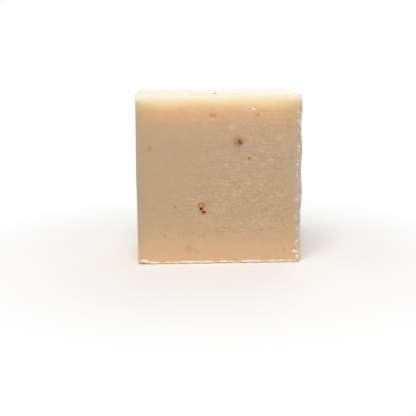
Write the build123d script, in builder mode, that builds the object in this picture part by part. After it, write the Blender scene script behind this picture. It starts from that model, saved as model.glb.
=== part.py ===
from build123d import *
import os
from math import cos, sin, sqrt, tau

# A hand-cut bar of soap that stands on one of its narrow cut edges.
# The origin is the middle of that foot: +X runs across the broad faces, the face with the flecks looks
# along -Y, and +Z is up. All sizes are in millimetres.

# Overall size of the cut block
width = 64.8
height = 66
thickness = 32

# The left side leans and bellies: its foot and top are inset from its fullest height, a share of the height.
# It bows out at the middle of the thickness too, so it is inset again at the front and back faces.
left_foot_inset = 0.05
left_top_inset = 0.35
left_belly_height = 0.3
left_front_inset = 0.8
left_back_inset = 0.5

# The right side was cut by hand and waves in and out between two short straight ends.
# Each point of the wave is a share of the height and a share of the wave's depth.
wave_depth = 0.75
back_wave_depth = 0.4
right_side_wave = ((0.34, 0.45), (0.44, 0.0), (0.54, 0.75), (0.69, 0.3), (0.79, 1.0), (0.92, 0.5))
side_end_inset = 0.3
side_straight = 4

# The block is drawn this much over its height at each end, and sliced off flat
foot_slice = 0.5
top_slice = 0.1

# Corner radii of the outline, at the front face and at the back face
front_foot_left = 1.5
front_foot_right = 2.6
front_top_right = 1.8
front_top_left = 0.9
back_foot_left = 2.2
back_foot_right = 2.8
back_top_right = 3.4
back_top_left = 1.3

# Rounding of the rims of the two broad faces, and the larger or crisper edges in them
front_rim_round = 0.8
back_rim_round = 1.2
front_top_round = 1.2
front_foot_round = 0.4
back_top_round = 2.0
back_foot_round = 1.2
right_back_round = 5

# The right front edge is torn: a slanting band with scooped bites along it.
# Each bite has a share of the height, its inset from the side, the radius of its scoop and its depth.
torn_width = 2.2
torn_depth = 0.9
torn_bites = (
    (0.965, 1.4, 2.4, 0.7),
    (0.86, 0.3, 3.6, 1.1),
    (0.79, 0.8, 2.4, 1.1),
    (0.73, 0.2, 3.2, 1.2),
    (0.62, 0.4, 5.0, 0.9),
    (0.52, 0.2, 3.0, 1.3),
    (0.42, 0.5, 4.2, 1.0),
    (0.33, 0.2, 2.6, 1.3),
    (0.23, 0.4, 3.8, 1.0),
    (0.13, 1.2, 2.0, 0.9),
    (0.065, 1.9, 2.2, 0.9),
)

# A chip is gone from the foot's right front corner, and a shallow nick from its left end
foot_chip_radius = 2.2
foot_chip_depth = 1.4
foot_nick_radius = 6
foot_nick_depth = 0.6
foot_nick_inset = 2.5

# Bits of plant in the soap, flush with its surface, in pockets of their own shape.
# Places on the front face are shares of the half width and of the height.
# The small ones are flakes: ovals with straight sides, every third corner of which is drawn in by a share.
fleck_depth = 0.6
flake_sides = 12
flake_notch = 0.1
bent_petal_place = (0.27, 0.73)
bent_petal_radius = 0.65
bent_petal_breadth = 0.8
bent_petal_start = 160
bent_petal_sweep = 130
husk_place = (-0.214, 0.356)
husk_radius = 0.85
husk_breadth = 0.35
husk_start = -20
husk_sweep = 235
seed_place = (-0.211, 0.334)
seed_length = 1.2
seed_breadth = 0.8
petal_tip_place = (-0.178, 0.314)
petal_tip_length = 1.25
petal_tip_breadth = 0.85

# A petal bit in the top face, placed by shares of the half width and of the half thickness
top_petal_place = (-0.027, -0.45)
top_petal_length = 0.9
top_petal_breadth = 0.6

# Amber specks: place across and up, length, breadth and turn in degrees
amber_specks_list = (
    (0.366, 0.63, 1.3, 1.0, 20),
    (-0.086, 0.883, 0.9, 1.3, 0),
    (-0.045, 0.882, 0.8, 1.4, -10),
    (0.464, 0.884, 1.3, 0.9, 10),
    (-0.523, 0.347, 0.8, 0.7, 0),
    (0.788, 0.08, 1.0, 1.4, 0),
)

# Pale grains: place across and up, length, breadth and turn in degrees
pale_grains_list = (
    (0.415, 0.918, 1.7, 0.7, 5),
    (-0.214, 0.356, 0.5, 0.8, 0),
    (-0.15, 0.338, 0.6, 0.5, 0),
    (-0.213, 0.313, 0.5, 0.5, 0),
    (0.749, 0.333, 0.7, 0.5, 30),
)

front_plane = Plane.XZ.offset(thickness / 2)
middle_plane = Plane.XZ
back_plane = Plane.XZ.offset(-thickness / 2)
top_plane = Plane.XY.offset(height)


def on_front(across, up):
    """Turns shares of the half width and of the height into a point of the front plane."""
    return (across * width / 2, up * height)


def broad_outline(plane, inset, depth, radii):
    """Draws the bar's outline on a plane: straight foot and top, a bellied left side and a wavy right side."""
    left = inset - width / 2
    left_foot = left + left_foot_inset
    left_top = left + left_top_inset
    right = width / 2 - side_end_inset
    foot = -foot_slice
    top = height + top_slice
    low = side_straight
    high = height - side_straight
    wave = [(width / 2 - share * depth, up * height) for up, share in right_side_wave]
    with BuildSketch(plane) as outline:
        with BuildLine():
            Polyline((left_foot, low), (left_foot, foot), (right, foot), (right, low))
            Spline((right, low), *wave, (right, high), tangents=((0, 1), (0, 1)))
            Polyline((right, high), (right, top), (left_top, top), (left_top, high))
            ThreePointArc((left_top, high), (left, left_belly_height * height), (left_foot, low))
        make_face()
        corners = ((left_foot, foot), (right, foot), (right, top), (left_top, top))
        for corner, radius in zip(corners, radii):
            fillet(outline.vertices().sort_by_distance(corner)[0], radius)
    return outline.sketch


def flake(length, breadth, turn=0):
    """Draws a small angular flake."""
    reaches = [(1 - flake_notch if step % 3 == 0 else 1) / 2 for step in range(flake_sides)]
    angles = [(step + 0.5) * tau / flake_sides for step in range(flake_sides)]
    corners = [
        (length * reach * cos(angle), breadth * reach * sin(angle)) for reach, angle in zip(reaches, angles)
    ]
    Polygon(*corners, rotation=turn)


def flakes(specks):
    """Draws a group of flakes on the front face, each given by its place, its size and its turn."""
    for across, up, length, breadth, turn in specks:
        with Locations(on_front(across, up)):
            flake(length, breadth, turn)


petal_bend = CenterArc((0, 0), bent_petal_radius, bent_petal_start, bent_petal_sweep)
husk_curl = CenterArc((0, 0), husk_radius, husk_start, husk_sweep)
with BuildPart() as petal_flecks:
    with BuildSketch(front_plane):
        with Locations(on_front(*bent_petal_place)):
            SlotArc(petal_bend, bent_petal_breadth)
        with Locations(on_front(*husk_place)):
            SlotArc(husk_curl, husk_breadth)
        with Locations(on_front(*seed_place)):
            flake(seed_breadth, seed_length)
        with Locations(on_front(*petal_tip_place)):
            flake(petal_tip_length, petal_tip_breadth)
    extrude(amount=-fleck_depth)
    with BuildSketch(top_plane):
        with Locations((top_petal_place[0] * width / 2, top_petal_place[1] * thickness / 2)):
            flake(top_petal_length, top_petal_breadth)
    extrude(amount=-fleck_depth)
petal_flecks.part.label = "petal_flecks"

with BuildPart() as amber_specks:
    with BuildSketch(front_plane):
        flakes(amber_specks_list)
    extrude(amount=-fleck_depth)
amber_specks.part.label = "amber_specks"

with BuildPart() as pale_grains:
    with BuildSketch(front_plane):
        flakes(pale_grains_list)
    extrude(amount=-fleck_depth)
pale_grains.part.label = "pale_grains"

with BuildPart() as soap_bar:
    # The cut block, drawn on its two broad faces and half way between them, with both rims rounded
    front_radii = (front_foot_left, front_foot_right, front_top_right, front_top_left)
    back_radii = (back_foot_left, back_foot_right, back_top_right, back_top_left)
    middle_radii = [(front + back) / 2 for front, back in zip(front_radii, back_radii)]
    middle_wave_depth = (wave_depth + back_wave_depth) / 2
    front_outline = broad_outline(front_plane, left_front_inset, wave_depth, front_radii)
    middle_outline = broad_outline(middle_plane, 0, middle_wave_depth, middle_radii)
    back_outline = broad_outline(back_plane, left_back_inset, back_wave_depth, back_radii)
    loft(sections=[front_outline, middle_outline, back_outline])
    fillet(soap_bar.faces().sort_by(Axis.Y)[0].edges(), front_rim_round)
    fillet(soap_bar.faces().sort_by(Axis.Y)[-1].edges(), back_rim_round)

    # Foot and top sliced flat and their long edges rounded, by the profile seen from the side
    with BuildSketch(Plane.YZ) as side_profile:
        Rectangle(thickness, height, align=(Align.CENTER, Align.MIN))
        corners = ((-thickness / 2, 0), (thickness / 2, 0), (thickness / 2, height), (-thickness / 2, height))
        rounds = (front_foot_round, back_foot_round, back_top_round, front_top_round)
        for corner, radius in zip(corners, rounds):
            fillet(side_profile.vertices().sort_by_distance(corner)[0], radius)
    extrude(amount=width, both=True, mode=Mode.INTERSECT)

    # The right side's upright edges rounded or torn, by the profile seen from above
    with BuildSketch(Plane.XY) as plan_profile:
        Rectangle(width, thickness)
        right_back = plan_profile.vertices().sort_by_distance((width / 2, thickness / 2))[0]
        fillet(right_back, right_back_round)
        with BuildLine(mode=Mode.PRIVATE) as torn_corner:
            Polyline(
                (width / 2, -thickness / 2),
                (width / 2, torn_depth - thickness / 2),
                (width / 2 - torn_width, -thickness / 2),
                close=True,
            )
        make_face(torn_corner.edges(), mode=Mode.SUBTRACT)
    extrude(amount=height, mode=Mode.INTERSECT)

    # Bites out of the torn edge, made by balls that stand in front of it
    for up, inset, radius, depth in torn_bites:
        with Locations((width / 2 - inset, depth - radius - thickness / 2, up * height)):
            Sphere(radius, mode=Mode.SUBTRACT)

    # The chip at the foot's right front corner and the nick at its left end
    chip_off = (foot_chip_radius - foot_chip_depth) / sqrt(3)
    with Locations((width / 2 + chip_off, -thickness / 2 - chip_off, -chip_off)):
        Sphere(foot_chip_radius, mode=Mode.SUBTRACT)
    nick_off = (foot_nick_radius - foot_nick_depth) / sqrt(2)
    with Locations((foot_nick_inset - width / 2, -thickness / 2 - nick_off, -nick_off)):
        Sphere(foot_nick_radius, mode=Mode.SUBTRACT)

    # Pockets of the bits of plant
    add(petal_flecks.part, mode=Mode.SUBTRACT)
    add(amber_specks.part, mode=Mode.SUBTRACT)
    add(pale_grains.part, mode=Mode.SUBTRACT)
soap_bar.part.label = "soap_bar"

os.makedirs("parts", exist_ok=True)
export_step(soap_bar.part, "parts/soap_bar.step")
export_step(petal_flecks.part, "parts/petal_flecks.step")
export_step(amber_specks.part, "parts/amber_specks.step")
export_step(pale_grains.part, "parts/pale_grains.step")
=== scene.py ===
"""The looks of a hand-cut bar of soap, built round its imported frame."""

import logging
import math
import random
from dataclasses import dataclass, field
from enum import Enum

import bmesh
import bpy
from bmesh.types import BMesh, BMFace, BMVert
from bpy.types import Material, Mesh, Node, NodeTree, Object
from bpy.types import NodeSocket as Socket
from mathutils import Matrix, Vector, noise
from mathutils.bvhtree import BVHTree


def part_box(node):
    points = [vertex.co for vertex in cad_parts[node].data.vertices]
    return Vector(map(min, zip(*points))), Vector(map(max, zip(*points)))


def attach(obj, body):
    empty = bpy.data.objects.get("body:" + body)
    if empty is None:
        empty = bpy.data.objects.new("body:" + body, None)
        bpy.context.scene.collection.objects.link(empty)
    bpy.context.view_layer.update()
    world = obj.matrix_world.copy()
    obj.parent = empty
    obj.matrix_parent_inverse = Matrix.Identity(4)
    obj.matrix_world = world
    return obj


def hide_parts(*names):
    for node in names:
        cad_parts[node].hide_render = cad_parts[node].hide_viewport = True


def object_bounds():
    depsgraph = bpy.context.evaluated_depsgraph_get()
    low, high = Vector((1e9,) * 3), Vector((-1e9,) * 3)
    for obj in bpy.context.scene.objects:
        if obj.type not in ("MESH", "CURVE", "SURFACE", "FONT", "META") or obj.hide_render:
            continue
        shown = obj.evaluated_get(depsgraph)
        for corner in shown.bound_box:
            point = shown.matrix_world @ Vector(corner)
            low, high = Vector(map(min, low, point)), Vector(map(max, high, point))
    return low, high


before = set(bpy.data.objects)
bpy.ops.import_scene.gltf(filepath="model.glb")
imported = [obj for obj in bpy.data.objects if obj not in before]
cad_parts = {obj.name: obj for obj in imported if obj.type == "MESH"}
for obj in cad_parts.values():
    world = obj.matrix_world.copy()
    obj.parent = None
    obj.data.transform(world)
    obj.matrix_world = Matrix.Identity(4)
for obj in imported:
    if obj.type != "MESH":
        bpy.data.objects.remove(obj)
CAD_LOW, CAD_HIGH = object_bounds()

log = logging.getLogger("soap")

MM = 0.001
BITS = ("petal_flecks", "amber_specks", "pale_grains")
Colour = tuple[int, int, int]
Triple = tuple[float, float, float]


class Slot(Enum):
    """The record's material slots."""

    SOAP = "soap"
    PETAL = "petal"
    AMBER = "amber"
    GRAIN = "grain"


class Mark(Enum):
    """The point attributes that the soap's mesh hands to its finish."""

    DRY = "dry"
    CRUMB = "crumb"
    PETAL_STAIN = "petal_stain"
    AMBER_STAIN = "amber_stain"


def linear(colour: Colour) -> tuple[float, float, float, float]:
    """Turns a colour as it looks on a screen into a shader's linear values.

    Args:
        colour: Red, green and blue from 0 to 255.

    Returns:
        Linear red, green and blue, and an alpha of 1.
    """
    parts = [value / 255 for value in colour]
    red, green, blue = (
        part / 12.92 if part <= 0.04045 else ((part + 0.055) / 1.055) ** 2.4 for part in parts
    )
    return (red, green, blue, 1.0)


def rise(value: float, low: float, high: float) -> float:
    """Gives 0 below low, 1 above high and a smooth rise between them."""
    share = min(max((value - low) / (high - low), 0.0), 1.0)
    return share * share * (3 - 2 * share)


def lump(across: float, up: float) -> Triple:
    """Gives a lump's size along X, Y and Z in metres, from its breadth and height in millimetres."""
    return (across * MM, across * MM, up * MM)


def cloud(point: Vector, sizes: Triple) -> float:
    """Gives soft noise from -1 to 1, with lumps of the given size along X, Y and Z."""
    return noise.noise(Vector((point.x / sizes[0], point.y / sizes[1], point.z / sizes[2])))


def jolt(point: Vector) -> Vector:
    """Gives a push of soft noise, from -1 to 1 along each axis, that is the same in each run."""
    return Vector([noise.noise(point + Vector((shift, 0, 0))) for shift in (0, 31.4, 72.8)])


def new_piece(name: str, bm: BMesh, finish: Material) -> Object:
    """Turns a bmesh into a smooth piece that rides on the part's one body, and frees the bmesh.

    Args:
        name: The piece's name.
        bm: Its mesh, in the frame's coordinates.
        finish: Its material.

    Returns:
        The piece, with its normals outward.
    """
    bmesh.ops.recalc_face_normals(bm, faces=bm.faces)
    mesh = bpy.data.meshes.new(name)
    bm.to_mesh(mesh)
    bm.free()
    mesh.materials.append(finish)
    mesh.shade_smooth()
    piece = bpy.data.objects.new(name, mesh)
    bpy.context.scene.collection.objects.link(piece)
    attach(piece, "root")
    return piece


def write_mark(mesh: Mesh, mark: Mark, numbers: list[float]) -> None:
    """Writes one number per point to a mesh's attribute."""
    layer = mesh.attributes.new(mark.value, "FLOAT", "POINT")
    layer.data.foreach_set("value", numbers)


def merged_copy(*nodes: str) -> BMesh:
    """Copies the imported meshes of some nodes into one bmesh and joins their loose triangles.

    Args:
        *nodes: The nodes' names.

    Returns:
        The bmesh, for the caller to free.
    """
    bm = bmesh.new()
    for node in nodes:
        bm.from_mesh(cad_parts[node].data)
    bmesh.ops.remove_doubles(bm, verts=bm.verts, dist=0.001 * MM)
    return bm


def cut_box(low: Vector, high: Vector, cuts: tuple[int, ...]) -> BMesh:
    """Makes a box, cut into even parts along its three axes.

    Args:
        low: Its lowest corner.
        high: Its highest corner.
        cuts: How many cuts there are along X, Y and Z.

    Returns:
        The box's mesh.
    """
    bm = bmesh.new()
    size = high - low
    bmesh.ops.create_cube(bm, size=1.0)
    bmesh.ops.scale(bm, vec=size, verts=bm.verts)
    bmesh.ops.translate(bm, vec=(low + high) / 2, verts=bm.verts)
    for axis, count in enumerate(cuts):
        along = [
            edge for edge in bm.edges
            if abs(edge.verts[0].co[axis] - edge.verts[1].co[axis]) > size[axis] / 2
        ]
        bmesh.ops.subdivide_edges(bm, edges=along, cuts=count, use_grid_fill=True)
    return bm


class NodeSheet:
    """A material's node tree, with short calls for the nodes that the finishes share."""

    def __init__(self, name: str) -> None:
        """Starts a material with a Principled shader.

        Args:
            name: The material's name.
        """
        self.material = bpy.data.materials.new(name)
        self.material.use_nodes = True
        self.tree = self.material.node_tree
        self.shader = self.tree.nodes["Principled BSDF"]
        self.place = self.add("ShaderNodeTexCoord").outputs["Object"]

    def add(self, kind: str, **settings: object) -> Node:
        """Adds a node.

        Args:
            kind: Its type.
            **settings: Its plain properties.

        Returns:
            The node.
        """
        node = self.tree.nodes.new(kind)
        for key, value in settings.items():
            setattr(node, key, value)
        return node

    def feed(self, socket: Socket, value: object) -> None:
        """Links an output to a socket, or sets a plain value on it.

        Args:
            socket: The socket.
            value: The output or the plain value.
        """
        if isinstance(value, Socket):
            self.tree.links.new(value, socket)
        else:
            socket.default_value = value

    def combine(self, operation: str, first: object, second: object = 0.0) -> Socket:
        """Adds a Math node.

        Args:
            operation: What it does.
            first: Its first output or plain value.
            second: Its second one.

        Returns:
            Its result.
        """
        node = self.add("ShaderNodeMath", operation=operation)
        self.feed(node.inputs[0], first)
        self.feed(node.inputs[1], second)
        return node.outputs[0]

    def times(self, first: object, second: object) -> Socket:
        """Multiplies two outputs, or an output and a plain value."""
        return self.combine("MULTIPLY", first, second)

    def spread(self, value: Socket, low: float, high: float, start: float = 0.0, end: float = 1.0) -> Socket:
        """Maps a value along a smooth curve that is level outside its two ends.

        Args:
            value: The value.
            low: The value at the curve's start.
            high: The value at its end.
            start: What it gives at its start.
            end: What it gives at its end.

        Returns:
            The mapped value.
        """
        node = self.add("ShaderNodeMapRange", interpolation_type="SMOOTHSTEP")
        for socket, entry in zip(node.inputs[:5], (value, low, high, start, end)):
            self.feed(socket, entry)
        return node.outputs["Result"]

    def scaled(self, sizes: Triple, centre: Triple = (0, 0, 0), place: Socket | None = None) -> Socket:
        """Counts coordinates in lumps.

        Args:
            sizes: The lumps' size along X, Y and Z, in metres.
            centre: Where the count starts, in metres.
            place: The coordinates, or None for the object's own.

        Returns:
            The counts along X, Y and Z.
        """
        node = self.add("ShaderNodeMapping")
        self.feed(node.inputs["Vector"], place or self.place)
        self.feed(node.inputs["Scale"], tuple(1 / size for size in sizes))
        self.feed(node.inputs["Location"], tuple(-part / size for part, size in zip(centre, sizes)))
        return node.outputs["Vector"]

    def cloud(self, sizes: Triple, detail: float = 2.0) -> Socket:
        """Adds soft noise.

        Args:
            sizes: Its lumps' size along X, Y and Z, in metres.
            detail: How many finer noises are laid over it.

        Returns:
            Its value, from 0 to 1.
        """
        node = self.add("ShaderNodeTexNoise")
        self.feed(node.inputs["Vector"], self.scaled(sizes))
        self.feed(node.inputs["Scale"], 1.0)
        self.feed(node.inputs["Detail"], detail)
        return node.outputs["Fac"]

    def axis(self, name: str) -> Socket:
        """Gives one of the object's coordinates: X, Y or Z.

        Args:
            name: The axis.

        Returns:
            The coordinate, in metres.
        """
        parts = self.add("ShaderNodeSeparateXYZ")
        self.feed(parts.inputs[0], self.place)
        return parts.outputs[name]

    def mark(self, mark: Mark) -> Socket:
        """Reads one of the mesh's point attributes."""
        return self.add("ShaderNodeAttribute", attribute_name=mark.value).outputs["Fac"]

    def mix(self, share: object, first: object, second: object, blend: str = "MIX") -> Socket:
        """Mixes two colours.

        Args:
            share: The second colour's share.
            first: The first colour.
            second: The second colour.
            blend: How they are mixed.

        Returns:
            The colour.
        """
        node = self.add("ShaderNodeMix", data_type="RGBA", blend_type=blend)
        colour_inputs = [socket for socket in node.inputs if socket.type == "RGBA"]
        self.feed(node.inputs[0], share)
        self.feed(colour_inputs[0], first)
        self.feed(colour_inputs[1], second)
        return next(socket for socket in node.outputs if socket.type == "RGBA")

    def ragged(self, size: float, reach: float) -> Socket:
        """Gives the object's coordinates, pushed about by noise so that what is drawn in them looks ragged.

        Args:
            size: The size of the noise's lumps, in metres.
            reach: How far it pushes each way, in metres.

        Returns:
            The coordinates.
        """
        lumps = self.add("ShaderNodeTexNoise")
        self.feed(lumps.inputs["Vector"], self.scaled((size, size, size)))
        self.feed(lumps.inputs["Scale"], 1.0)
        pushed = self.add("ShaderNodeVectorMath", operation="MULTIPLY_ADD")
        for socket, value in zip(pushed.inputs, (lumps.outputs["Color"], (2 * reach,) * 3, self.place)):
            self.feed(socket, value)
        centred = self.add("ShaderNodeVectorMath", operation="SUBTRACT")
        self.feed(centred.inputs[0], pushed.outputs["Vector"])
        self.feed(centred.inputs[1], (reach,) * 3)
        return centred.outputs["Vector"]

    def near(self, centre: Triple, sizes: Triple, inner: float, place: Socket | None) -> Socket:
        """Gives 1 inside an oval about a point, fading to 0 at its rim.

        Args:
            centre: The oval's middle, in metres.
            sizes: Its half sizes along X, Y and Z, in metres.
            inner: The share of the half size within which the value is 1.
            place: The coordinates to measure in, or None for the object's own.

        Returns:
            The value, from 0 to 1.
        """
        length = self.add("ShaderNodeVectorMath", operation="LENGTH")
        self.feed(length.inputs[0], self.scaled(sizes, centre, place))
        return self.spread(length.outputs["Value"], inner, 1.0, 1.0, 0.0)

    def plain(self, values: dict[str, object]) -> None:
        """Sets plain values on the shader's own sockets."""
        for name, value in values.items():
            self.shader.inputs[name].default_value = value

    def ridges(self, *heights: tuple[Socket, float]) -> None:
        """Chains bumps into the shader's normal.

        Args:
            *heights: Pairs of a height socket and the bump's depth in metres.
        """
        normal = None
        for height, depth in heights:
            bump = self.add("ShaderNodeBump")
            self.feed(bump.inputs["Height"], height)
            self.feed(bump.inputs["Distance"], depth)
            self.feed(bump.inputs["Strength"], 1.0)
            if normal is not None:
                self.feed(bump.inputs["Normal"], normal)
            normal = bump.outputs["Normal"]
        self.feed(self.shader.inputs["Normal"], normal)


@dataclass(frozen=True)
class Stain:
    """An oval tint: a buried bit that shows through the soap, or the tone of a bit of plant.

    Attributes:
        across: Its place on the front face, as a share of the half width.
        up: Its place as a share of the height.
        breadth: Half its size across, in millimetres.
        tall: Half its size upwards, in millimetres.
        colour: The tint.
        strength: How strong the tint is.
        reach: Half its size along the thickness, in millimetres.
        edge: The share of its size within which it has its full strength.
        behind: How far its middle lies behind the front face, in millimetres.
    """

    across: float
    up: float
    breadth: float
    tall: float
    colour: Colour
    strength: float
    reach: float = 1.5
    edge: float = 0.15
    behind: float = 0.0

    def over(self, sheet: NodeSheet, colour: Socket, place: Socket | None = None) -> Socket:
        """Lays the stain over a colour.

        Args:
            sheet: The material's node tree.
            colour: The colour under it.
            place: The coordinates that it is drawn in, or None for the object's own.

        Returns:
            The colour with the stain.
        """
        low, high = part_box("soap_bar")
        middle = (self.across * high[0], low[1] + self.behind * MM, self.up * high[2])
        sizes = (self.breadth * MM, self.reach * MM, self.tall * MM)
        inside = sheet.near(middle, sizes, self.edge, place)
        return sheet.mix(sheet.times(inside, self.strength), colour, linear(self.colour))


OCHRE: Colour = (180, 138, 82)
HONEY: Colour = (228, 170, 110)
CLAY: Colour = (208, 158, 116)
CREAM: Colour = (225, 191, 162)
CHALK: Colour = (216, 191, 164)
STREAK: Colour = (214, 184, 150)

PETAL_TONES = (
    Stain(0.253, 0.72, 0.6, 0.7, (184, 112, 72), 0.6),
    Stain(0.288, 0.717, 1.0, 1.0, (188, 128, 92), 0.9, edge=0.4),
    Stain(0.25, 0.742, 0.7, 0.6, (178, 126, 94), 0.85, edge=0.4),
    Stain(-0.214, 0.36, 1.5, 1.4, (188, 132, 82), 1.0, edge=0.7),
    Stain(-0.184, 0.363, 1.0, 1.2, (186, 148, 108), 0.75, edge=0.5),
    Stain(-0.211, 0.334, 0.9, 0.85, (60, 12, 0), 1.0, edge=0.75),
    Stain(-0.178, 0.314, 0.95, 0.8, (122, 46, 0), 1.0, edge=0.75),
)
AMBER_TONES = (
    Stain(0.366, 0.63, 1.3, 1.2, (178, 132, 66), 0.8),
    Stain(-0.066, 0.883, 2.0, 1.4, (214, 156, 94), 1.0, edge=0.8),
    Stain(0.788, 0.08, 1.0, 1.2, (222, 174, 130), 1.0, edge=0.7),
    Stain(0.464, 0.884, 1.2, 1.0, (226, 170, 112), 1.0, edge=0.7),
)
GRAIN_TONES = (
    Stain(0.415, 0.918, 1.4, 0.8, (252, 238, 208), 1.0, edge=0.7),
    Stain(-0.214, 0.356, 0.5, 0.7, (246, 204, 152), 1.0, edge=0.7),
    Stain(-0.15, 0.338, 0.6, 0.6, (208, 168, 132), 1.0, edge=0.7),
    Stain(-0.213, 0.313, 0.5, 0.5, (216, 162, 126), 1.0, edge=0.7),
)
BURIED = (
    # A wide, faint, darker and pinker oval round the upper petal.
    Stain(0.245, 0.71, 5.5, 4.5, (184, 146, 116), 0.4, edge=0.3),
    Stain(0.222, 0.732, 2.8, 3.0, (148, 108, 82), 0.6),
    Stain(0.251, 0.717, 1.8, 1.7, (182, 104, 64), 0.75),
    Stain(0.25, 0.722, 1.0, 0.9, (150, 84, 54), 0.85, edge=0.4),
    Stain(-0.2, 0.338, 1.9, 3.0, (184, 124, 78), 0.65),
    Stain(-0.174, 0.362, 1.2, 1.5, (184, 138, 92), 0.55),
    Stain(-0.211, 0.334, 1.2, 1.3, (180, 98, 24), 0.85),
    Stain(-0.178, 0.314, 1.5, 1.3, (192, 112, 56), 0.75),
    Stain(-0.066, 0.883, 3.0, 2.2, HONEY, 0.5),
    Stain(-0.043, 0.903, 0.6, 0.5, (248, 214, 172), 0.7),
    Stain(-0.09, 0.865, 0.8, 0.6, (238, 202, 168), 0.6),
    Stain(0.464, 0.884, 1.8, 1.3, HONEY, 0.5),
    Stain(-0.439, 0.917, 1.2, 0.7, HONEY, 0.4),
    Stain(-0.822, 0.698, 1.7, 1.8, OCHRE, 0.7),
    Stain(-0.835, 0.703, 0.9, 0.9, (200, 168, 128), 0.85),
    Stain(-0.523, 0.347, 0.9, 0.9, OCHRE, 0.4),
    Stain(0.68, 0.569, 1.3, 1.0, OCHRE, 0.4),
    Stain(-0.037, 0.191, 2.0, 0.9, OCHRE, 0.4),
    Stain(-0.645, 0.169, 1.0, 1.2, (192, 144, 98), 0.55),
    Stain(-0.478, 0.172, 1.4, 1.2, CLAY, 0.35),
    Stain(-0.371, 0.091, 2.5, 2.2, (210, 156, 108), 0.6),
    Stain(-0.263, 0.072, 1.5, 1.3, CLAY, 0.5),
    Stain(0.16, 0.817, 1.7, 1.5, CREAM, 0.5),
    Stain(-0.312, 0.862, 2.4, 1.4, CREAM, 0.5),
    Stain(-0.155, 0.827, 1.3, 1.0, CREAM, 0.45),
    Stain(0.719, 0.748, 1.6, 1.0, CHALK, 0.7),
    Stain(-0.184, 0.636, 1.2, 1.0, CHALK, 0.3),
    Stain(0.336, 0.608, 1.8, 0.9, CHALK, 0.4),
    Stain(0.523, 0.236, 1.8, 1.6, CHALK, 0.4),
    Stain(0.503, 0.479, 1.2, 0.9, CHALK, 0.5),
    Stain(0.355, 0.482, 1.1, 0.8, CHALK, 0.5),
    Stain(0.081, 0.488, 1.3, 0.9, CHALK, 0.45),
    Stain(-0.074, 0.486, 1.4, 1.0, CHALK, 0.4),
    Stain(-0.246, 0.476, 1.2, 0.9, CHALK, 0.35),
    Stain(0.091, 0.595, 1.2, 1.2, (150, 122, 98), 0.5),
    Stain(0.091, 0.595, 0.6, 0.6, (244, 228, 208), 0.95, edge=0.5),
    Stain(-0.377, 0.34, 4.8, 0.4, STREAK, 0.45),
    Stain(-0.062, 0.322, 4.4, 0.45, STREAK, 0.45),
    Stain(-0.086, 0.298, 3.4, 0.4, STREAK, 0.4),
    Stain(0.331, 0.168, 9.0, 0.45, STREAK, 0.35),
    Stain(0.783, 0.7, 4.5, 0.4, STREAK, 0.45),
    Stain(0.795, 0.679, 4.0, 0.35, STREAK, 0.4),
    Stain(-0.027, 1.0, 2.2, 1.2, (238, 212, 198), 0.35, reach=3.4, edge=0.3, behind=7.4),
    Stain(-0.027, 1.0, 0.9, 1.2, (196, 144, 126), 0.95, reach=3.2, edge=0.5, behind=7.6),
)


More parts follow.
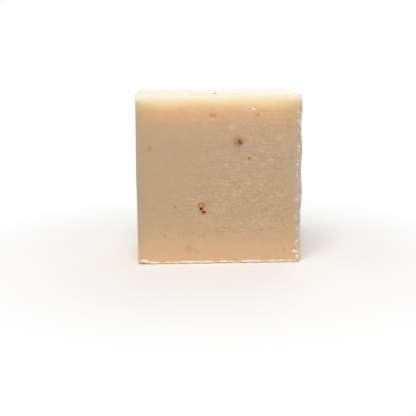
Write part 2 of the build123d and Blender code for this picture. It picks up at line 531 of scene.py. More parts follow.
@dataclass(frozen=True)
class SoapFinish:
    """Waxy cream soap, slightly see-through, paler towards the top through painted glow and grazing
    reflection, and warmer at the foot through painted bounce light.

    Attributes:
        tone_and_painted_light: Pairs of a share of the height and the soap's colour there; the brighter,
            warmer stops near the foot are painted bounce light, and the pale stops near the top are painted
            glow and grazing reflection.
        rosy: The tint of its pinker clouds.
        olive: The tint of its greener clouds.
        painted_glow_band: The shares of the height between which the pale top band of painted glow sets in.
        shoulder_shade: The painted shade, darker and yellower, that dims the pale band towards its two ends.
        shoulder_reach: How far out the painted shade sets in and how far out it is full, in metres.
        shoulder_end: The shares of the height between which the painted shade ends.
        left_rim_shade: The colour of the painted grey shade along the front face's left rim.
        right_rim_light: The colour of the painted light along its right rim, which the torn edge catches
            from the white surround.
        rim_reach: How far out the painted rim shade and light set in and how far out they are full, in
            metres.
        rim_depth: How far behind the front face they start to fade and are gone, in metres.
        rim_strength: How dense they are.
        pimple: The painted highlight on the small lumps where the cut is crumbly, and on the small specks
            there.
        tear_shade: The painted shade in the small hollows between them.
        pale: The colour of the pale blotches there.
        dull: The tint of the dull blotches there.
        dry: The colour of torn crumbs and burrs, and of the torn band's pale mottling, which is partly
            painted light.
        petal_stain: The tint round the dark bits.
        amber_stain: The tint round the amber bits.
        glow: How deep light travels in red, green and blue, in metres.
        row_pitch: The height from one dragged row to the next, in metres.
        row_wobble: How far the rows wander up and down, in metres.
    """

    # The soap's own tone in the middle; the brighter, warmer stops at the foot are painted bounce light, and
    # the pale stops from 0.83 up are painted glow and grazing reflection.
    tone_and_painted_light: tuple[tuple[float, Colour], ...] = (
        (0.00, (230, 190, 148)),
        (0.09, (222, 184, 144)),
        (0.20, (207, 174, 136)),
        (0.32, (199, 168, 132)),
        (0.70, (196, 168, 136)),
        (0.83, (208, 172, 134)),
        (0.905, (230, 186, 140)),
        (0.93, (240, 203, 154)),
        (0.955, (251, 223, 179)),
        (0.98, (254, 241, 209)),
        (0.99, (246, 232, 217)),
        (1.00, (238, 230, 211)),
    )
    rosy: Colour = (255, 250, 253)
    olive: Colour = (251, 254, 244)
    # Where the pale band of painted glow sets in.
    painted_glow_band: tuple[float, float] = (0.78, 0.9)
    # Painted shade on the pale band's two ends.
    shoulder_shade: Colour = (246, 247, 240)
    shoulder_reach: tuple[float, float] = (21 * MM, 27.5 * MM)
    shoulder_end: tuple[float, float] = (0.945, 0.985)
    # Painted grey shade on the left rim and painted light on the right rim.
    left_rim_shade: Colour = (172, 168, 143)
    right_rim_light: Colour = (192, 183, 158)
    rim_reach: tuple[float, float] = (26.5 * MM, 32.2 * MM)
    rim_depth: tuple[float, float] = (0.8 * MM, 2.8 * MM)
    rim_strength: float = 0.55
    # Painted highlight on the crumbly lumps, and painted shade in their hollows.
    pimple: Colour = (234, 210, 184)
    tear_shade: Colour = (238, 233, 228)
    pale: Colour = (222, 190, 164)
    dull: Colour = (249, 247, 241)
    dry: Colour = (255, 235, 217)
    petal_stain: Colour = (182, 108, 60)
    amber_stain: Colour = (196, 142, 80)
    glow: Triple = (1.0 * MM, 0.8 * MM, 0.6 * MM)
    row_pitch: float = 1.35 * MM
    row_wobble: float = 0.9 * MM

    def colour_with_painted_light_by_height(self, sheet: NodeSheet, share: Socket) -> Socket:
        """Gives the soap's colour at a height, with painted bounce light near the foot and painted glow near
        the top.

        Args:
            sheet: The material's node tree.
            share: The share of the height.

        Returns:
            The colour.
        """
        tone_and_painted_light = sheet.add("ShaderNodeValToRGB")
        stops = tone_and_painted_light.color_ramp.elements
        while len(stops) < len(self.tone_and_painted_light):
            stops.new(1.0)
        for stop, (place, colour) in zip(stops, self.tone_and_painted_light):
            stop.position = place
            stop.color = linear(colour)
        sheet.feed(tone_and_painted_light.inputs["Fac"], share)
        return tone_and_painted_light.outputs["Color"]

    def colour(self, sheet: NodeSheet) -> Socket:
        """Builds the soap's colour from its height, which carries painted bounce light at the foot and
        painted glow at the top, its clouds, painted shade and light on its two rims and the buried bits.

        Args:
            sheet: The material's node tree.

        Returns:
            The colour.
        """
        share = sheet.combine("DIVIDE", sheet.axis("Z"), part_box("soap_bar")[1][2])
        wander = sheet.spread(sheet.cloud(lump(9, 5)), 0.2, 0.8, -0.012, 0.012)
        calm = sheet.spread(share, *self.painted_glow_band, 1.0, 0.25)
        # Colour by height: the soap's tone, with painted bounce light at the foot and painted glow at the
        # top.
        colour = self.colour_with_painted_light_by_height(sheet, sheet.combine("ADD", share, sheet.times(wander, calm)))

        clear = sheet.spread(share, 0.88, 0.98, 1.0, 0.35)
        pink = sheet.spread(sheet.cloud(lump(5, 4), 3), 0.35, 0.65)
        green = sheet.spread(sheet.cloud(lump(3.1, 2.6), 3), 0.4, 0.7)
        colour = sheet.mix(sheet.times(pink, clear), colour, linear(self.rosy), "MULTIPLY")
        colour = sheet.mix(sheet.times(green, clear), colour, linear(self.olive), "MULTIPLY")
        # Painted shade on the band's ends, and painted shade and light on the front face's rims.
        colour = self.paint_edge_light_and_shade(sheet, colour, share)

        ragged = sheet.ragged(1.1 * MM, 0.9 * MM)
        for stain in BURIED:
            colour = stain.over(sheet, colour, ragged)
        colour = sheet.mix(sheet.mark(Mark.AMBER_STAIN), colour, linear(self.amber_stain))
        return sheet.mix(sheet.mark(Mark.PETAL_STAIN), colour, linear(self.petal_stain))

    def paint_edge_light_and_shade(self, sheet: NodeSheet, colour: Socket, share: Socket) -> Socket:
        """Paints shade on the pale top band's two ends, and paints grey shade along the front face's left
        rim and light along its right rim.

        Args:
            sheet: The material's node tree.
            colour: The soap's colour so far.
            share: The share of the height.

        Returns:
            The colour with them.
        """
        across = sheet.axis("X")
        outward = sheet.combine("ABSOLUTE", across)
        # Painted shade that dims the pale band towards its two ends.
        below_top = sheet.spread(share, *self.shoulder_end, 1.0, 0.0)
        ends = sheet.times(sheet.spread(share, *self.painted_glow_band), below_top)
        ends = sheet.times(sheet.spread(outward, *self.shoulder_reach), ends)
        colour = sheet.mix(ends, colour, linear(self.shoulder_shade), "MULTIPLY")

        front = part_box("soap_bar")[0][1]
        fade, gone = self.rim_depth
        on_front = sheet.spread(sheet.axis("Y"), front + fade, front + gone, 1.0, 0.0)
        # Painted shade on the left rim and painted light on the right rim, faded behind the front face and
        # towards the foot.
        rim_shade_and_light = sheet.times(sheet.spread(outward, *self.rim_reach, 0.0, self.rim_strength), on_front)
        above_foot = sheet.spread(share, 0.02, 0.25, 0.3, 1.0)
        rim_shade_and_light = sheet.times(rim_shade_and_light, sheet.times(below_top, above_foot))
        on_right = sheet.combine("GREATER_THAN", across, 0.0)
        tone = sheet.mix(on_right, linear(self.left_rim_shade), linear(self.right_rim_light))
        return sheet.mix(rim_shade_and_light, colour, tone)

    def material(self) -> Material:
        """Makes the soap's material.

        Returns:
            The material.
        """
        sheet = NodeSheet("waxy_soap")
        crumb = sheet.mark(Mark.CRUMB)
        dry = sheet.mark(Mark.DRY)
        rows = self.rows(sheet)
        grains = sheet.cloud(lump(1.6, 0.9), 3)
        in_rows = sheet.times(sheet.spread(rows, 0.0, 1.0, 0.3, 1.0), crumb)
        # The lumps drive real bumps and a painted highlight; the hollows between them get painted shade.
        pimple_bumps_and_highlight = sheet.times(sheet.spread(grains, 0.5, 0.68), in_rows)
        tear_shading = sheet.times(sheet.spread(grains, 0.46, 0.3), in_rows)
        faint_rows = sheet.times(rows, sheet.spread(crumb, 0.0, 1.0, 0.12, 0.7))
        blotches = sheet.cloud(lump(3.4, 1.9))
        pale = sheet.times(sheet.spread(blotches, 0.5, 0.7, 0.0, 0.35), crumb)
        dull = sheet.times(sheet.spread(blotches, 0.48, 0.3), crumb)

        colour = self.colour(sheet)
        colour = sheet.mix(pale, colour, linear(self.pale))
        colour = sheet.mix(dull, colour, linear(self.dull), "MULTIPLY")
        # Painted highlight on the lumps and painted shade in the hollows.
        colour = sheet.mix(sheet.times(pimple_bumps_and_highlight, 0.5), colour, linear(self.pimple))
        colour = sheet.mix(tear_shading, colour, linear(self.tear_shade), "MULTIPLY")
        # Small painted highlights over the crumbly part.
        specks = sheet.spread(sheet.cloud(lump(0.8, 0.5)), 0.52, 0.66, 0.0, 0.3)
        colour = sheet.mix(sheet.times(specks, crumb), colour, linear(self.pimple))
        # Pale dry soap on crumbs, burrs and the torn band; on the torn band it is partly painted light.
        flaky = sheet.spread(sheet.cloud(lump(0.9, 0.9), 3), 0.38, 0.6, 0.1, 1.0)
        flakes = sheet.combine("MAXIMUM", sheet.times(dry, flaky), sheet.spread(dry, 0.8, 1.0))
        colour = sheet.mix(flakes, colour, linear(self.dry))
        sheet.feed(sheet.shader.inputs["Base Color"], colour)

        shine = sheet.spread(sheet.cloud(lump(2.2, 2.2), 4), 0.3, 0.7, 0.46, 0.62)
        roughness = sheet.combine("ADD", shine, sheet.times(dry, 0.25))
        sheet.feed(sheet.shader.inputs["Roughness"], roughness)
        sheet.plain({
            "IOR": 1.46,
            "Specular IOR Level": 0.4,
            "Subsurface Weight": 0.2,
            "Subsurface Radius": self.glow,
            "Subsurface Scale": 1.0,
        })
        fine = sheet.cloud(lump(0.35, 0.35), 3)
        sheet.ridges((pimple_bumps_and_highlight, 0.18 * MM), (faint_rows, 0.06 * MM), (fine, 0.03 * MM))
        return sheet.material

    def rows(self, sheet: NodeSheet) -> Socket:
        """Gives the wavy level rows that the cutting wire dragged: 1 on a row, 0 between two.

        Args:
            sheet: The material's node tree.

        Returns:
            The value, from 0 to 1.
        """
        wobble = sheet.spread(sheet.cloud(lump(13, 4)), 0.2, 0.8, -self.row_wobble, self.row_wobble)
        height = sheet.combine("ADD", sheet.axis("Z"), wobble)
        turns = sheet.times(height, math.tau / self.row_pitch)
        return sheet.spread(sheet.combine("SINE", turns), -0.4, 0.9)


@dataclass(frozen=True)
class PlantFinish:
    """Dried plant, wetted by the soap: two tones, fine veins and a dull shine.

    Attributes:
        name: The material's name.
        deep: The colour of its dark parts.
        light: The colour of its thin parts.
        roughness: How dull it is.
        tones: The bits that have a tone of their own.
        shine: Its specular level.
    """

    name: str
    deep: Colour
    light: Colour
    roughness: float
    tones: tuple[Stain, ...]
    shine: float = 0.15

    def material(self) -> Material:
        """Makes the plant bits' material.

        Returns:
            The material.
        """
        sheet = NodeSheet(self.name)
        veins = sheet.cloud((0.9 * MM, 0.5 * MM, 0.16 * MM), 4)
        patches = sheet.cloud(lump(0.5, 0.5), 3)
        thin = sheet.spread(patches, 0.3, 0.7, 0.5, 1.0)
        share = sheet.times(sheet.spread(veins, 0.3, 0.7), thin)
        colour = sheet.mix(share, linear(self.deep), linear(self.light))
        for tone in self.tones:
            colour = tone.over(sheet, colour)
        sheet.feed(sheet.shader.inputs["Base Color"], colour)
        sheet.plain({"Roughness": self.roughness, "Specular IOR Level": self.shine})
        sheet.ridges((veins, 0.04 * MM))
        return sheet.material


@dataclass
class SoapBlock:
    """The block of soap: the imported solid's form with its cut, torn and pitted surface.

    Attributes:
        step: The size of the mesh's squares, in metres.
        torn_reach: How far the torn band reaches in from the right front edge, in metres.
        torn_wrap: How far it reaches round onto the right side, in metres.
        torn_wander: How far its border wanders, in metres.
        blends: How many times the torn band is smoothed before it is roughened.
        fill: The share by which its top end is filled after that.
        regain: How far the right side is moved out again, in metres.
        slump: The depth of the slow unevenness that hand cutting leaves, in metres.
        ripple: The depth of the small unevenness on it, in metres.
        ripples: The size of its lumps, and of those of the torn band's border, in metres.
        pimple: The height of the small lumps where the cut is crumbly, in metres.
        lean: How far the crumbly part's left border leans to the right, for each metre up.
        drag: The depth of the level rows that the wire dragged, in metres.
        chunk: The size of the chunks that the torn edge broke into, in metres.
        chunk_height: How far they stand out, in metres.
        dent: How deep the soap sinks round each bit of plant, in metres.
        hole: The depth of the small bubbles that the cut has opened, in metres.
        broad: How squarely a place must look along Y to lie in one of the broad faces.
        level: How squarely it must look down to lie in the foot.
        low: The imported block's lowest corner.
        high: Its highest corner.
    """

    step: float = 0.46 * MM
    torn_reach: float = 2.6 * MM
    torn_wrap: float = 1.6 * MM
    torn_wander: float = 1.1 * MM
    blends: int = 40
    fill: float = 0.7
    regain: float = 0.2 * MM
    slump: float = 0.12 * MM
    ripple: float = 0.03 * MM
    ripples: Triple = lump(3.1, 2.3)
    pimple: float = 0.11 * MM
    lean: float = 0.51
    drag: float = 0.04 * MM
    chunk: float = 1.5 * MM
    chunk_height: float = 0.4 * MM
    dent: float = 0.14 * MM
    hole: float = 0.22 * MM
    broad: float = 0.6
    level: float = 0.8
    low: Vector = field(default_factory=lambda: Vector(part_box("soap_bar")[0]))
    high: Vector = field(default_factory=lambda: Vector(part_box("soap_bar")[1]))

    def __post_init__(self) -> None:
        """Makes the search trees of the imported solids."""
        self.solid = self.tree_of("soap_bar", *BITS)
        self.petals = self.tree_of("petal_flecks")
        self.ambers = self.tree_of("amber_specks")
        self.bits = self.tree_of(*BITS)

    @staticmethod
    def tree_of(*nodes: str) -> BVHTree:
        """Makes a search tree of some nodes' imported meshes.

        Args:
            *nodes: The nodes' names.

        Returns:
            The tree.
        """
        bm = merged_copy(*nodes)
        tree = BVHTree.FromBMesh(bm)
        bm.free()
        return tree

    def torn(self, point: Vector) -> float:
        """Gives how far a point lies in the torn band.

        Args:
            point: A point of the surface.

        Returns:
            The share, from 0 outside the band to 1 in it.
        """
        ragged = self.torn_wander * cloud(point, self.ripples)
        inward = self.high.x - point.x + ragged
        behind = point.y - self.low.y + 0.5 * ragged
        inside = 1 - rise(inward, self.torn_reach - 0.9 * MM, self.torn_reach)
        front = 1 - rise(behind, self.torn_wrap - 0.7 * MM, self.torn_wrap)
        over_foot = rise(point.z, 0.6 * MM, 2 * MM)
        under_top = 1 - rise(point.z, self.high.z - 6 * MM, self.high.z - 3 * MM)
        return inside * front * (over_foot * under_top)

    def crumbly(self, point: Vector, normal: Vector) -> float:
        """Gives how crumbly the cut is: most at the front's lower right, patchy elsewhere.

        Args:
            point: A point of the surface.
            normal: The surface's outward direction there.

        Returns:
            The share, from 0 where it is smooth to a little over 1.
        """
        patch = 0.5 + 0.5 * cloud(point, lump(14, 11))
        if normal.y > -self.broad:
            return rise(patch, 0.45, 0.8) * 0.7
        leaning = point.x + 10 * MM - self.lean * (point.z - 14 * MM)
        spread = rise(leaning, -26 * MM, 13 * MM) * rise(point.z, 5 * MM, 15 * MM)
        spread *= 1 - 0.7 * rise(point.x, 25.5 * MM, 29 * MM)
        spread *= 1.15 - 0.35 * rise(point.z, 14 * MM, 44 * MM)
        return spread * (1 - rise(point.z, 58 * MM, 63 * MM)) * (0.4 + 0.9 * patch)

    def relief(self, point: Vector, normal: Vector) -> float:
        """Gives how far the surface stands out from the plain solid, in metres.

        Args:
            point: A point of the surface.
            normal: The surface's outward direction there.

        Returns:
            The height, negative for a hollow.
        """
        if normal.z < -self.level:
            return 0.0
        height = self.slump * cloud(point, lump(19, 15))
        height += self.ripple * cloud(point, self.ripples)
        crumb = self.crumbly(point, normal)
        height += self.pimple * crumb * rise(cloud(point, lump(2.1, 1.35)), 0.1, 0.6)
        if abs(normal.y) > self.broad:
            height += self.drag * (0.3 + crumb) * cloud(point, lump(11, 1.5))
        torn = self.torn(point)
        if torn > 0:
            distances, _ = noise.voronoi(point / self.chunk)
            chunk = min(distances[1] - distances[0], 0.5) - 0.3
            height += torn * (self.chunk_height * chunk + 0.1 * MM * cloud(point, lump(0.9, 0.9)))
        sunk = 1 - rise(self.bits.find_nearest(point)[3], 0.05 * MM, 0.55 * MM)
        return height * (1 - sunk) - self.dent * sunk

    def pit(self, point: Vector) -> float:
        """Gives the depth of the small bubbles that the cut has opened.

        Args:
            point: A point of the surface.

        Returns:
            The depth there, in metres.
        """
        distances, middles = noise.voronoi(point / (5.2 * MM))
        size = 0.05 + 0.05 * abs(noise.noise(middles[0] * 7.3))
        return self.hole * (1 - rise(distances[0], size * 0.3, size))

    def seat(self, verts: list[BMVert]) -> None:
        """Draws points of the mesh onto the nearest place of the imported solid."""
        for vert in verts:
            vert.co = self.solid.find_nearest(vert.co)[0]

    def refine(self, bm: BMesh) -> None:
        """Cuts the mesh finer along the torn band and round the bits of plant.

        Args:
            bm: The block's mesh.
        """
        edges = []
        for edge in bm.edges:
            middle = (edge.verts[0].co + edge.verts[1].co) / 2
            band = self.high.x - middle.x < 3.2 * MM and middle.y - self.low.y < 2.2 * MM
            if band or self.bits.find_nearest(middle, 0.9 * MM)[0] is not None:
                edges.append(edge)
        made = bmesh.ops.subdivide_edges(bm, edges=edges, cuts=1, use_grid_fill=True)
        self.seat([item for item in made["geom_inner"] if isinstance(item, BMVert)])

    def blend(self, bm: BMesh) -> None:
        """Softens the scoops along the torn edge, fills its top end and moves the right side out again.

        Args:
            bm: The block's mesh.
        """
        right = self.high.x
        top = self.high.z
        band = [
            vert for vert in bm.verts
            if right - vert.co.x < 4 * MM and vert.co.y - self.low.y < 2.4 * MM
            and 2 * MM < vert.co.z < top - 1.6 * MM
        ]
        for _ in range(self.blends):
            bmesh.ops.smooth_vert(
                bm, verts=band, factor=0.5, use_axis_x=True, use_axis_y=True, use_axis_z=True
            )
        for vert in bm.verts:
            behind = vert.co.y - self.low.y
            share = rise(vert.co.z, top - 9 * MM, top - 5 * MM)
            share *= 1 - rise(vert.co.z, top - 1.8 * MM, top - 0.9 * MM)
            at_side = rise(vert.co.x, right - 4 * MM, right - 2.4 * MM)
            share *= at_side * (1 - rise(behind, 0.7 * MM, 1.7 * MM))
            vert.co.y -= self.fill * share * behind
            edge = rise(vert.co.x, right - 3.5 * MM, right - 1.5 * MM)
            edge *= 1 - rise(behind, 3 * MM, 9 * MM)
            vert.co.x += self.regain * edge * (1 - rise(vert.co.z, top - 6 * MM, top - 3 * MM))

    def shape(self, bm: BMesh) -> None:
        """Moves each point out or in by the relief and the opened bubbles.

        Args:
            bm: The block's mesh.
        """
        bm.normal_update()
        moves = []
        for vert in bm.verts:
            height = self.relief(vert.co, vert.normal)
            if vert.normal.z > -self.level:
                height -= self.pit(vert.co)
            moves.append(vert.co + vert.normal * height)
        for vert, place in zip(bm.verts, moves):
            vert.co = place
            vert.co.z = max(vert.co.z, 0.0)

    def write_marks(self, mesh: Mesh) -> None:
        """Writes the point attributes that the soap's finish reads.

        Args:
            mesh: The finished block's mesh.
        """
        values: dict[Mark, list[float]] = {mark: [] for mark in Mark}
        for vert in mesh.vertices:
            place = vert.co.copy()
            torn = self.torn(place)
            foot = 1 - rise(place.z, 0.3 * MM, 0.7 * MM)
            foot *= 1 - rise(place.y - self.low.y, 0.6 * MM, 1.2 * MM)
            # The torn band's pale mottling: partly dry crumbled soap, partly painted light that the torn
            # edge catches from the white surround.
            torn_pale_and_painted_light = 0.15 + 0.4 * rise(cloud(place, lump(1.6, 1.3)), -0.1, 0.45)
            values[Mark.DRY].append(max(torn_pale_and_painted_light * torn, 0.5 * foot))
            values[Mark.CRUMB].append(min(self.crumbly(place, vert.normal), 1.0) * (1 - torn))
            petal_gap = self.petals.find_nearest(place)[3]
            amber_gap = self.ambers.find_nearest(place)[3]
            values[Mark.PETAL_STAIN].append(0.45 * (1 - rise(petal_gap, 0.0, 0.5 * MM)))
            values[Mark.AMBER_STAIN].append(0.35 * (1 - rise(amber_gap, 0.0, 0.45 * MM)))
        for mark, numbers in values.items():
            write_mark(mesh, mark, numbers)

    def build(self, finish: Material) -> Object:
        """Models the block, dresses it and keeps a search tree of its finished skin.

        Args:
            finish: The soap's material.

        Returns:
            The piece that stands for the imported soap_bar.
        """
        cuts = tuple(round(side / self.step) - 1 for side in self.high - self.low)
        bm = cut_box(self.low, self.high, cuts)
        self.seat(list(bm.verts))
        self.refine(bm)
        self.blend(bm)
        self.shape(bm)
        wide = [face for face in bm.faces if len(face.verts) > 4]
        bmesh.ops.triangulate(bm, faces=wide)
        self.skin = BVHTree.FromBMesh(bm)
        piece = new_piece("soap_block", bm, finish)
        self.write_marks(piece.data)
        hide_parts("soap_bar")
        return piece


@dataclass
class PlantBits:
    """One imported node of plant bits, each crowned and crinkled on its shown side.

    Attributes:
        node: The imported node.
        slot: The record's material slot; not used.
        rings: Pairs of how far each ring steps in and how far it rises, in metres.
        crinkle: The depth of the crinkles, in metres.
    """

    node: str
    slot: Slot
    rings: tuple[tuple[float, float], ...] = (
        (0.03 * MM, 0.02 * MM),
        (0.04 * MM, 0.03 * MM),
        (0.04 * MM, 0.01 * MM),
    )
    crinkle: float = 0.05 * MM

    def shown_faces(self, bm: BMesh) -> list[BMFace]:
        """Finds the faces that lie in the soap's front or top.

        Args:
            bm: The bits' mesh.

        Returns:
            The faces.
        """
        low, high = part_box("soap_bar")
        near = 0.01 * MM
        return [
            face for face in bm.faces
            if all(abs(vert.co.y - low[1]) < near for vert in face.verts)
            or all(abs(vert.co.z - high[2]) < near for vert in face.verts)
        ]

    def build(self, finish: Material) -> Object:
        """Models the bits and dresses them.

        Args:
            finish: The plant's material.

        Returns:
            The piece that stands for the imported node.
        """
        bm = merged_copy(self.node)
        bmesh.ops.dissolve_limit(bm, angle_limit=math.radians(1), verts=bm.verts, edges=bm.edges)
        shown = self.shown_faces(bm)
        for inward, outward in self.rings:
            bmesh.ops.inset_region(bm, faces=shown, thickness=inward, depth=outward, use_even_offset=True)
        made = bmesh.ops.triangulate(bm, faces=shown)
        inner = {edge for face in made["faces"] for edge in face.edges}
        split = bmesh.ops.subdivide_edges(bm, edges=list(inner), cuts=2)
        bm.normal_update()
        for item in split["geom_inner"]:
            if isinstance(item, BMVert):
                item.co += item.normal * self.crinkle * cloud(item.co, lump(0.35, 0.35))
        piece = new_piece(f"{self.node}_shown", bm, finish)
        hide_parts(self.node)
        return piece


@dataclass
class TornCrumbs:
    """Crumbs of soap that cling along the torn right front edge.

    Attributes:
        count: How many there are, besides the chips.
        upper: The share of them that cling to the upper third.
        small: Half the smallest crumb's size, in metres.
        large: Half the largest crumb's size, in metres.
        sunk: The share of its size that each crumb is sunk into the soap.
        seed: The seed of the crumbs' places and shapes.
        chips: The larger, palest chips: shares of the half width and of the height, and half the size
            in millimetres.
    """

    count: int = 190
    upper: float = 0.5
    small: float = 0.12 * MM
    large: float = 0.4 * MM
    sunk: float = 0.3
    seed: int = 7
    chips: tuple[Triple, ...] = (
        (0.957, 0.129, 0.85), (0.942, 0.122, 0.6), (0.915, 0.068, 0.95), (0.935, 0.06, 0.8),
        (0.96, 0.062, 0.5), (0.95, 0.042, 0.65), (0.962, 0.035, 0.8), (0.978, 0.026, 0.55),
        (0.97, 0.885, 0.35), (0.957, 0.868, 0.4), (0.947, 0.85, 0.4), (0.957, 0.838, 0.35),
        (0.945, 0.822, 0.3), (0.955, 0.785, 0.35), (0.93, 0.765, 0.3), (0.958, 0.7, 0.4),
        (0.96, 0.685, 0.45), (0.957, 0.668, 0.4), (0.948, 0.595, 0.4), (0.945, 0.523, 0.45),
        (0.958, 0.415, 0.35),
    )

    def crumb(self, bm: BMesh, place: Vector, size: float, draw: random.Random) -> int:
        """Adds one crumb: a small ball, flattened, turned and made uneven.

        Args:
            bm: The mesh that takes it.
            place: Its middle, in metres.
            size: Half its size, in metres.
            draw: The source of its shape.

        Returns:
            How many points it has.
        """
        verts = bmesh.ops.create_uvsphere(bm, u_segments=7, v_segments=5, radius=size)["verts"]
        stretch = (draw.uniform(0.8, 1.4), draw.uniform(0.7, 1.0), draw.uniform(0.6, 0.9))
        bmesh.ops.scale(bm, vec=stretch, verts=verts)
        axis = Vector((draw.uniform(-1, 1), draw.uniform(-1, 1), draw.uniform(-1, 1))).normalized()
        turn = Matrix.Rotation(draw.uniform(0, math.pi), 3, axis)
        bmesh.ops.rotate(bm, cent=(0, 0, 0), matrix=turn, verts=verts)
        for vert in verts:
            vert.co *= 1 + 0.5 * cloud(vert.co + place * 3, (size, size, size))
        bmesh.ops.translate(bm, vec=place, verts=verts)
        return len(verts)

    def build(self, block: SoapBlock, finish: Material) -> Object:
        """Models the crumbs on the block's finished surface and dresses them.

        Args:
            block: The block that they cling to.
            finish: The soap's material.

        Returns:
            The piece.
        """
        draw = random.Random(self.seed)
        bm = bmesh.new()
        pale: list[float] = []
        for _ in range(self.count):
            inward = draw.triangular(0, block.torn_reach + 0.4 * MM, block.torn_reach * 0.5)
            behind = draw.uniform(0, 1.1 * MM)
            lowest = 42 * MM if draw.random() < self.upper else 1.2 * MM
            up = draw.uniform(lowest, block.high.z - 4 * MM)
            start = Vector((block.high.x - inward, block.low.y + behind, up))
            place, normal, _, _ = block.skin.find_nearest(start)
            size = self.small + (self.large - self.small) * draw.random() ** 2
            count = self.crumb(bm, place - normal * size * self.sunk, size, draw)
            pale.extend([draw.uniform(0.2, 0.85)] * count)
        for across, up, breadth in self.chips:
            start = Vector((across * block.high.x, block.low.y, up * block.high.z))
            place, normal, _, _ = block.skin.find_nearest(start)
            size = breadth * MM
            count = self.crumb(bm, place - normal * size * self.sunk, size, draw)
            pale.extend([1.0] * count)
        piece = new_piece("torn_crumbs", bm, finish)
        write_mark(piece.data, Mark.DRY, pale)
        return piece


@dataclass
class FootBurr:
    """The thin ragged lip along the foot's front edge, which curls up round its right corner.

    Attributes:
        start: Where it starts on the left, in metres.
        corner: Where the right corner starts to curve up, in metres.
        corner_radius: The radius of that corner, in metres.
        curl: How far it follows the corner, in metres.
        lift: The height of its middle over the floor, in metres.
        left_lift: How much higher it runs over the nick at the left end, in metres.
        tall: Its height, in metres.
        thick: Its thickness, in metres.
        roughness: How far its points are pushed about, in metres.
        step: The length of its mesh's sections, in metres.
        front: Where the front face lies, in metres.
    """

    start: float = -31.2 * MM
    corner: float = 30.0 * MM
    corner_radius: float = 2.1 * MM
    curl: float = 2.9 * MM
    lift: float = 0.75 * MM
    left_lift: float = 0.75 * MM
    tall: float = 0.85 * MM
    thick: float = 0.6 * MM
    roughness: float = 0.12 * MM
    step: float = 0.24 * MM
    front: float = field(default_factory=lambda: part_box("soap_bar")[0][1])

    def middle(self, along: float) -> Vector:
        """Gives the lip's middle on the front plane, before it is seated.

        Args:
            along: A length along the lip, in metres.

        Returns:
            The place.
        """
        wander = 0.1 * MM * noise.noise(Vector((along / (4 * MM), 0, 0)))
        if along <= self.corner:
            nick = self.left_lift * (1 - rise(along, self.start + 1.5 * MM, self.start + 5 * MM))
            return Vector((along, self.front, self.lift + nick + wander))
        turn = (along - self.corner) / self.corner_radius
        across = self.corner + self.corner_radius * math.sin(turn)
        return Vector((across, self.front, self.lift + self.corner_radius * (1 - math.cos(turn)) + wander))

    def fullness(self, along: float) -> float:
        """Gives how full the lip is, which wanders along it.

        Args:
            along: A length along the lip, in metres.

        Returns:
            The share of its plain size, at least a fifth.
        """
        slow = noise.noise(Vector((along / (2.6 * MM), 4.7, 0)))
        quick = noise.noise(Vector((along / (0.9 * MM), 9.1, 0)))
        left_end = 0.5 * (1 - rise(along, self.start + 2 * MM, self.start + 8 * MM))
        return max(0.2, 0.75 + 0.9 * slow + 0.35 * quick + left_end)

    def build(self, block: SoapBlock, finish: Material) -> Object:
        """Models the lip against the block and dresses it.

        Args:
            block: The block that it runs along.
            finish: The soap's material.

        Returns:
            The piece.
        """
        end = self.corner + self.curl
        low = Vector((self.start, -self.thick / 2, -self.tall / 2))
        high = Vector((end, self.thick / 2, self.tall / 2))
        bm = cut_box(low, high, (round((end - self.start) / self.step), 1, 2))
        bmesh.ops.smooth_vert(bm, verts=bm.verts, factor=0.5, use_axis_y=True, use_axis_z=True)
        for vert in bm.verts:
            along, deep, up = vert.co
            seat = block.solid.find_nearest(self.middle(along))[0]
            full = self.fullness(along)
            rough = self.roughness * jolt(Vector((along, deep * 3, up * 3)) / (0.6 * MM))
            vert.co = seat + Vector((0, deep, up)) * full + rough * full
            vert.co.z = max(vert.co.z, 0.01 * MM)
        piece = new_piece("foot_burr", bm, finish)
        write_mark(piece.data, Mark.DRY, [1.0] * len(piece.data.vertices))
        return piece


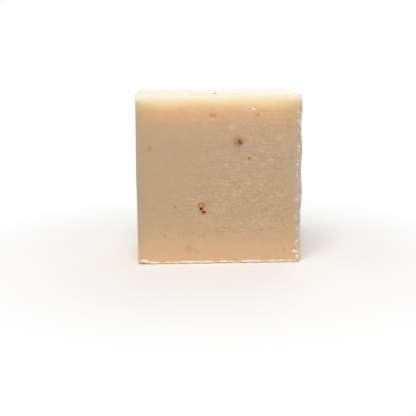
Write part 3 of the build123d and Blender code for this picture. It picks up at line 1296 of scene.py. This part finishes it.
@dataclass(frozen=True)
class Studio:
    """A plain pale floor, a white surround and soft light.

    Attributes:
        sky: The world's level on the object, where 1 is white.
        floor_colour: The floor's colour.
        floor_size: Its width, in metres.
        shade_near: The distance within which the floor takes the object's shadow, in metres.
        shade_far: The distance beyond which it is white to the camera, in metres.
    """

    sky: float = 0.5
    floor_colour: Colour = (250, 249, 248)
    floor_size: float = 6.0
    shade_near: float = 0.045
    shade_far: float = 0.13

    @staticmethod
    def seen(tree: NodeTree) -> Socket:
        """Gives 1 to camera, glossy and transmission rays, and 0 to the others.

        Args:
            tree: The node tree that takes the nodes.

        Returns:
            The value.
        """
        path = tree.nodes.new("ShaderNodeLightPath")
        total: Socket = path.outputs["Is Camera Ray"]
        for name in ("Is Glossy Ray", "Is Transmission Ray"):
            join = tree.nodes.new("ShaderNodeMath")
            join.operation = "MAXIMUM"
            tree.links.new(total, join.inputs[0])
            tree.links.new(path.outputs[name], join.inputs[1])
            total = join.outputs[0]
        return total

    def world(self) -> None:
        """Makes the world: white to the camera, plain soft light to the object."""
        world = bpy.data.worlds.new("studio_sky")
        world.use_nodes = True
        tree = world.node_tree
        back = tree.nodes["Background"]
        back.inputs["Color"].default_value = (1, 1, 1, 1)
        level = tree.nodes.new("ShaderNodeMapRange")
        level.inputs["To Min"].default_value = self.sky
        level.inputs["To Max"].default_value = 1.0
        tree.links.new(self.seen(tree), level.inputs["Value"])
        tree.links.new(level.outputs["Result"], back.inputs["Strength"])
        bpy.context.scene.world = world

    def floor(self) -> None:
        """Makes the floor, which fades to plain white away from the object."""
        bm = bmesh.new()
        bmesh.ops.create_grid(bm, x_segments=2, y_segments=2, size=self.floor_size / 2)
        mesh = bpy.data.meshes.new("floor")
        bm.to_mesh(mesh)
        bm.free()
        floor = bpy.data.objects.new("floor", mesh)
        bpy.context.scene.collection.objects.link(floor)

        sheet = NodeSheet("pale_floor")
        sheet.plain({"Base Color": linear(self.floor_colour), "Roughness": 0.9, "Specular IOR Level": 0.1})
        distance = sheet.add("ShaderNodeVectorMath", operation="LENGTH")
        sheet.feed(distance.inputs[0], sheet.place)
        away = sheet.spread(distance.outputs["Value"], self.shade_near, self.shade_far)
        white = sheet.add("ShaderNodeEmission")
        blend = sheet.add("ShaderNodeMixShader")
        sheet.feed(blend.inputs[0], sheet.times(away, self.seen(sheet.tree)))
        sheet.feed(blend.inputs[1], sheet.shader.outputs[0])
        sheet.feed(blend.inputs[2], white.outputs[0])
        sheet.feed(sheet.tree.nodes["Material Output"].inputs["Surface"], blend.outputs[0])
        mesh.materials.append(sheet.material)

    @staticmethod
    def lamp(name: str, place: Triple, size: float, power: float) -> None:
        """Adds a square soft lamp that faces the middle of the object.

        Args:
            name: The lamp's name.
            place: Its middle, in metres.
            size: Its width, in metres.
            power: Its power in watts.
        """
        data = bpy.data.lights.new(name, "AREA")
        data.shape = "SQUARE"
        data.size = size
        data.energy = power
        lamp = bpy.data.objects.new(name, data)
        middle = (CAD_LOW + CAD_HIGH) / 2
        aim = (middle - Vector(place)).to_track_quat("-Z", "Y").to_matrix().to_4x4()
        lamp.matrix_world = Matrix.Translation(place) @ aim
        bpy.context.scene.collection.objects.link(lamp)

    def build(self) -> None:
        """Sets the whole studio up."""
        bpy.context.scene.view_settings.view_transform = "Standard"
        self.world()
        self.floor()
        self.lamp("key_lamp", (-0.08, -0.34, 0.68), 0.34, 2.8)
        self.lamp("back_lamp", (0.25, 0.75, 0.55), 0.7, 1.3)


@dataclass(frozen=True)
class Viewpoint:
    """The photograph's camera, worked out from the bar's corners.

    Attributes:
        place: Where it stands, in metres.
        lens: Its focal length in millimetres, on a sensor 36 mm wide.
        pitch: How far it looks down, in degrees.
        yaw: How far it looks to the right, in degrees.
        roll: How far it is turned about its own line of sight, in degrees.
    """

    place: Triple = (-13.8 * MM, -317.6 * MM, 87.7 * MM)
    lens: float = 68.78
    pitch: float = 12.21
    yaw: float = 1.83
    roll: float = -0.4

    def build(self) -> None:
        """Makes the camera and gives it to the scene."""
        data = bpy.data.cameras.new("camera")
        data.sensor_fit = "HORIZONTAL"
        data.sensor_width = 36
        data.lens = self.lens
        data.clip_start = 0.01
        camera = bpy.data.objects.new("camera", data)
        turns = ((-self.yaw, "Z"), (90 - self.pitch, "X"), (self.roll, "Z"))
        pose = Matrix.Translation(self.place)
        for angle, axis in turns:
            pose = pose @ Matrix.Rotation(math.radians(angle), 4, axis)
        camera.matrix_world = pose
        bpy.context.scene.collection.objects.link(camera)
        bpy.context.scene.camera = camera


def main() -> None:
    """Builds the pieces in order and reports them, then sets up the studio and the camera."""
    logging.basicConfig(level=logging.INFO, format="%(name)s %(message)s")
    soap = SoapFinish().material()
    petal = PlantFinish("dried_petal", (120, 58, 32), (156, 88, 54), 0.7, PETAL_TONES, 0.02).material()
    amber = PlantFinish("amber_husk", (176, 118, 60), (212, 158, 92), 0.4, AMBER_TONES).material()
    grain = PlantFinish("pale_grain", (220, 196, 156), (246, 234, 206), 0.5, GRAIN_TONES).material()

    block = SoapBlock()
    pieces = (
        block.build(soap),
        PlantBits("petal_flecks", Slot.PETAL).build(petal),
        PlantBits("amber_specks", Slot.AMBER).build(amber),
        PlantBits("pale_grains", Slot.GRAIN).build(grain),
        TornCrumbs().build(block, soap),
        FootBurr().build(block, soap),
    )
    for piece in pieces:
        log.info("%s: %d points, %d faces", piece.name, len(piece.data.vertices), len(piece.data.polygons))
    Studio().build()
    Viewpoint().build()


if __name__ == "__main__":
    main()
